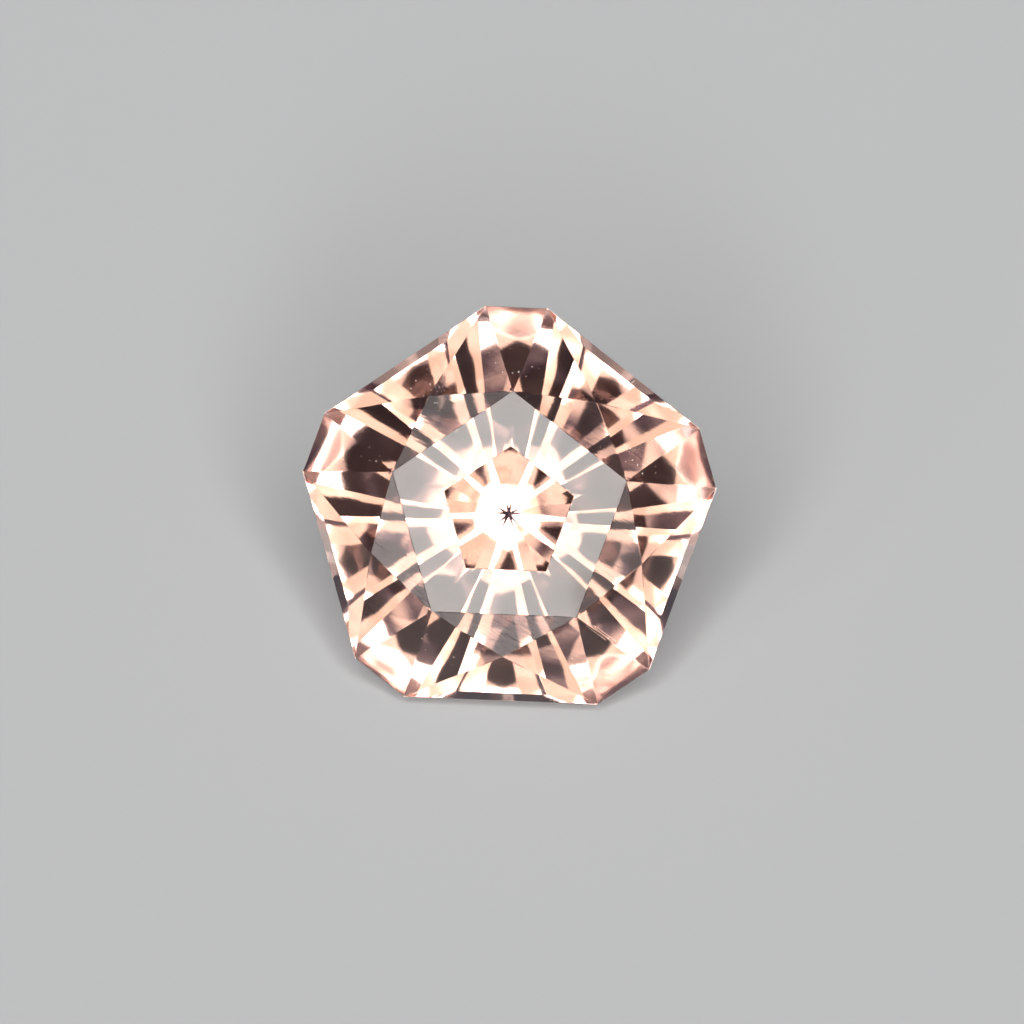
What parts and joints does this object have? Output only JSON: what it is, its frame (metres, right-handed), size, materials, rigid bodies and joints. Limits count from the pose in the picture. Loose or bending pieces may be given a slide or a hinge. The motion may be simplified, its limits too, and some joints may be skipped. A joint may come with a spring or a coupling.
{
  "type": "faceted pink tourmaline",
  "caption": "Cut and polished pale pink gemstone with a five-sided outline, cut corners, a small five-sided table and a pointed pavilion, lying on one pavilion facet.",
  "frame": {"origin": "middle of the bounding box's underside, on the surface that the stone lies on", "axes": "-Z into the surface, square to the pavilion facet that the stone rests on; the table faces up and towards -Y; the stone is symmetric about the plane X = 0"},
  "size_m": [0.0076, 0.0056, 0.0049],
  "materials": {
    "pink_tourmaline": "polished transparent crystal, pale peach pink",
    "lint": "fine pale dust and lint"
  },
  "bodies": {
    "root": {"pink_tourmaline": "pink_tourmaline"}
  },
  "joints": []
}
